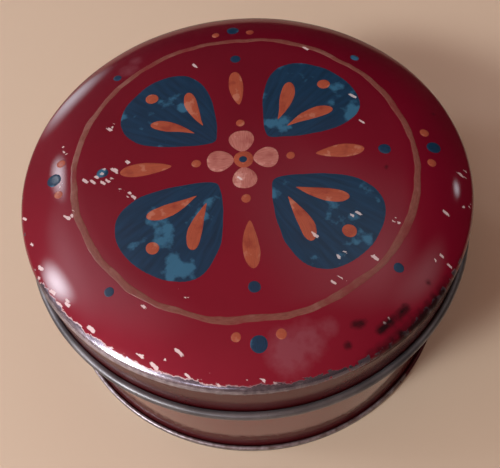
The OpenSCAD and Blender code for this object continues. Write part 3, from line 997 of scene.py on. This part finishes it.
def brushStrokesTree():
    # a ring of like strokes: each is a round dab drawn out to a length, narrowed to its start and bent
    tree, add, given = newGroup("brushStrokes", "GeometryNodeTree", {
        "Lid": "Object", "Rings": "Int", "Sides": "Int", "Length": "Float", "Width": "Float",
        "Point": "Float", "Bend": "Float", "Count": "Int", "First": "Float", "Distance": "Float",
        "Lean": "Float", "Wander": "Float", "Wobble": "Float", "Wobble Size": "Float",
        "Film": "Float", "Sink": "Float", "Seed": "Int", "Paint": "Material",
    }, {"Mesh": "Geometry"})
    rows = add("FunctionNodeIntegerMath", [given["Rings"], 1], operation="ADD")
    grid, index, ring, turn = ringGrid(add, rows, given["Sides"])
    out = add("ShaderNodeMath", [ring, given["Rings"]], operation="DIVIDE")
    disc = add("GeometryNodeStoreNamedAttribute", {"Geometry": grid, "Name": "edge", "Value": out},
               data_type="FLOAT")
    disc = add("GeometryNodeSetPosition", {"Geometry": disc, "Position": swing(add, out, turn)})
    disc = add("GeometryNodeMergeByDistance", {"Geometry": disc, "Distance": brush["dabWeld"]})
    place = add("GeometryNodeInputPosition")
    disc = add("GeometryNodeStoreNamedAttribute", {"Geometry": disc, "Name": "stroke", "Value": place},
               data_type="FLOAT_VECTOR")
    # the dab drawn out: x runs from the stroke's start to its end
    axes = add("ShaderNodeSeparateXYZ", [place], output=None)
    along = add("ShaderNodeMath", [axes["X"], 0.5, 0.5], operation="MULTIPLY_ADD")
    reach = add("ShaderNodeMath", [along, given["Length"]], operation="MULTIPLY")
    fullness = add("ShaderNodeMath", [along, given["Point"]], operation="POWER")
    half = add("ShaderNodeMath", [given["Width"], 0.5], operation="MULTIPLY")
    across = add("ShaderNodeMath", [axes["Y"], half], operation="MULTIPLY")
    across = add("ShaderNodeMath", [across, fullness], operation="MULTIPLY")
    swept = add("ShaderNodeMath", [along, 2], operation="POWER")
    across = add("ShaderNodeMath", [swept, given["Bend"], across], operation="MULTIPLY_ADD")
    drawn = add("ShaderNodeCombineXYZ", {"X": reach, "Y": across})
    stroke = add("GeometryNodeSetPosition", {"Geometry": disc, "Position": drawn})
    # the ring of places, with a hand's small errors in angle and size
    perStroke = add("ShaderNodeMath", [math.tau, given["Count"]], operation="DIVIDE")
    angle = add("ShaderNodeMath", [index, perStroke, given["First"]], operation="MULTIPLY_ADD")
    spot = swing(add, given["Distance"], angle)
    spots = add("GeometryNodePoints", {"Count": given["Count"], "Position": spot})
    sway = add("FunctionNodeRandomValue", {2: -1, 3: 1, "Seed": given["Seed"]}, output=1)
    swayBy = add("ShaderNodeMath", [sway, given["Wander"]], operation="MULTIPLY")
    facing = add("ShaderNodeMath", [angle, given["Lean"]], operation="ADD")
    facing = add("ShaderNodeMath", [facing, swayBy], operation="ADD")
    turned = add("FunctionNodeAxisAngleToRotation", {"Axis": (0, 0, 1), "Angle": facing})
    nextSeed = add("FunctionNodeIntegerMath", [given["Seed"], 1], operation="ADD")
    swell = add("FunctionNodeRandomValue", {2: -1, 3: 1, "Seed": nextSeed}, output=1)
    size = add("ShaderNodeMath", [swell, given["Wander"], 1], operation="MULTIPLY_ADD")
    strokes = add("GeometryNodeInstanceOnPoints", {"Points": spots, "Instance": stroke, "Rotation": turned,
                                                   "Scale": size})
    strokes = add("GeometryNodeRealizeInstances", {"Geometry": strokes})
    # the outline of each wobbles as the brush does
    perWobble = add("ShaderNodeMath", [1, given["Wobble Size"]], operation="DIVIDE")
    shake = add("ShaderNodeTexNoise", {"Vector": place, "W": given["Seed"], "Scale": perWobble, "Detail": 1},
                output="Color", noise_dimensions="4D")
    shake = add("ShaderNodeVectorMath", [shake, (0.5, 0.5, 0.5)], operation="SUBTRACT")
    shake = add("ShaderNodeVectorMath", {0: shake, "Scale": given["Wobble"]}, operation="SCALE")
    strokes = add("GeometryNodeSetPosition", {"Geometry": strokes, "Offset": shake})
    layFlat(add, given, strokes)
    return tree


def brushLineTree():
    # one line drawn right round the lid, which wanders and swells as a loaded brush does
    tree, add, given = newGroup("brushLine", "GeometryNodeTree", {
        "Lid": "Object", "Around": "Int", "Across": "Int", "Radius": "Float", "Width": "Float",
        "Wander": "Float", "Wander Size": "Float", "Swell": "Float", "Film": "Float", "Sink": "Float",
        "Seed": "Float", "Paint": "Material",
    }, {"Mesh": "Geometry"})
    rows = add("FunctionNodeIntegerMath", [given["Across"], 1], operation="ADD")
    grid, _, ring, turn = ringGrid(add, rows, given["Around"])
    side = add("ShaderNodeMath", [ring, given["Across"]], operation="DIVIDE")
    side = add("ShaderNodeMath", [side, 2, -1], operation="MULTIPLY_ADD")
    edge = add("ShaderNodeMath", [side], operation="ABSOLUTE")
    flat = add("GeometryNodeStoreNamedAttribute", {"Geometry": grid, "Name": "edge", "Value": edge},
               data_type="FLOAT")
    spread = add("ShaderNodeCombineXYZ", {"X": turn, "Y": side})
    spread = add("ShaderNodeVectorMath", [spread, brush["lineStreaks"]], operation="MULTIPLY")
    flat = add("GeometryNodeStoreNamedAttribute", {"Geometry": flat, "Name": "stroke", "Value": spread},
               data_type="FLOAT_VECTOR")
    onRing = swing(add, given["Radius"], turn)
    perWander = add("ShaderNodeMath", [1, given["Wander Size"]], operation="DIVIDE")
    hand = add("ShaderNodeTexNoise", {"Vector": onRing, "W": given["Seed"], "Scale": perWander, "Detail": 2},
               output="Color", noise_dimensions="4D")
    parts = add("FunctionNodeSeparateColor", [hand], output=None)
    drift = add("ShaderNodeMapRange", [parts[0], *wideSpan, -1, 1])
    swell = add("ShaderNodeMapRange", [parts[1], *wideSpan, -1, 1])
    fat = add("ShaderNodeMath", [swell, given["Swell"], 1], operation="MULTIPLY_ADD")
    half = add("ShaderNodeMath", [given["Width"], 0.5], operation="MULTIPLY")
    half = add("ShaderNodeMath", [half, fat], operation="MULTIPLY")
    reach = add("ShaderNodeMath", [drift, given["Wander"], given["Radius"]], operation="MULTIPLY_ADD")
    reach = add("ShaderNodeMath", [side, half, reach], operation="MULTIPLY_ADD")
    flat = add("GeometryNodeSetPosition", {"Geometry": flat, "Position": swing(add, reach, turn)})
    flat = add("GeometryNodeMergeByDistance", {"Geometry": flat, "Distance": weld})
    flat = add("GeometryNodeRealizeInstances", {"Geometry": flat})
    layFlat(add, given, flat)
    return tree


brushStrokes, brushLine = brushStrokesTree(), brushLineTree()

# a ring of petals round a disc, with leaves between, and dots outside the line; mm and degrees
ornament = {
    "petals": 4,
    "first": 45,
    "sink": 0.08,
    "wobble": 1.4,
    "wobbleSize": 9,
    "wander": 0.05,                     # a hand's errors in angle and size
    "seed": 10,
    # length, width, point, bend, start from the axis, turn from the petals, lean, film, paint, rings, sides
    "strokes": {
        "petals": (52, 66, 0.55, 0, 11, 0, 0, 0.06, tealEnamel, 26, 72),
        "leftCommas": (25, 11, 0.8, 4, 22, 5, 10, 0.12, orangeEnamel, 10, 32),
        "rightCommas": (25, 11, 0.8, -4, 22, -5, -10, 0.12, orangeEnamel, 10, 32),
        "petalDots": (6.4, 6.4, 0, 0, 48, 0, 0, 0.12, orangeEnamel, 6, 20),
        "leaves": (23, 9, 0.35, 0, 27, 45, 0, 0.08, orangeEnamel, 10, 32),
        "leafDots": (5.4, 5.4, 0, 0, 53, 45, 0, 0.08, tealEnamel, 6, 20),
        "outerDots": (6.8, 6.8, 0, 0, 72.4, 45, 0, 0.08, tealEnamel, 6, 20),
        "outerLeftDots": (4.2, 4.2, 0, 0, 71.6, 51, 0, 0.08, orangeEnamel, 5, 16),
        "outerRightDots": (4.2, 4.2, 0, 0, 71.6, 39, 0, 0.08, orangeEnamel, 5, 16),
        "petalTips": (4.4, 4.4, 0, 0, 71.2, 0, 0, 0.08, tealEnamel, 5, 16),
        "heartDabs": (12, 13, 0.2, 0, 3, 45, 0, 0.08, roseEnamel, 8, 28),
        "heartDots": (4.2, 4.2, 0, 0, 16.5, 45, 0, 0.08, orangeEnamel, 5, 16),
    },
    # width, paint, film
    "heart": {"heartDisc": (8.5, orangeEnamel, 0.14), "heartEye": (4.4, tealEnamel, 0.2)},
    "heartGrid": (8, 28),               # rings and sides
    "heartWander": 0.03,
    "heartSeed": 40,
    "line": {"radius": 67.7, "width": 3.2, "wander": 0.9, "wanderSize": 16, "swell": 0.4, "film": 0.05,
             "around": 360, "across": 6, "seed": 7.0},
}


def addOrnament():
    painted = []
    laid = {"Lid": lidShell, "Sink": ornament["sink"] * mm}
    shaken = dict(laid, **{"Wobble": ornament["wobble"] * mm, "Wobble Size": ornament["wobbleSize"] * mm})
    for number, (name, stroke) in enumerate(ornament["strokes"].items()):
        length, width, point, bend, distance, turn, lean, film, paint, rings, sides = stroke
        painted.append((growPiece(name, brushStrokes, dict(shaken, **{
            "Rings": rings, "Sides": sides, "Length": length * mm, "Width": width * mm,
            "Point": float(point), "Bend": bend * mm, "Count": ornament["petals"],
            "First": math.radians(ornament["first"] + turn), "Distance": distance * mm,
            "Lean": math.radians(lean), "Wander": ornament["wander"], "Film": film * mm,
            "Seed": ornament["seed"] + number, "Paint": paint,
        })), paint))
    rings, sides = ornament["heartGrid"]
    for number, (name, (across, paint, film)) in enumerate(ornament["heart"].items()):
        painted.append((growPiece(name, brushStrokes, dict(shaken, **{
            "Rings": rings, "Sides": sides, "Length": across * mm, "Width": across * mm, "Point": 0.0,
            "Bend": 0.0, "Count": 1, "First": 0.0, "Distance": -across / 2 * mm, "Lean": 0.0,
            "Wander": ornament["heartWander"], "Film": film * mm, "Seed": ornament["heartSeed"] + number,
            "Paint": paint,
        })), paint))
    line = ornament["line"]
    painted.append((growPiece("lineRound", brushLine, dict(laid, **{
        "Around": line["around"], "Across": line["across"], "Radius": line["radius"] * mm,
        "Width": line["width"] * mm, "Wander": line["wander"] * mm, "Wander Size": line["wanderSize"] * mm,
        "Swell": line["swell"], "Film": line["film"] * mm, "Seed": line["seed"], "Paint": lineEnamel,
    })), lineEnamel))
    for piece, paint in painted:
        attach(piece, "lid")


addOrnament()
print("ornament done")
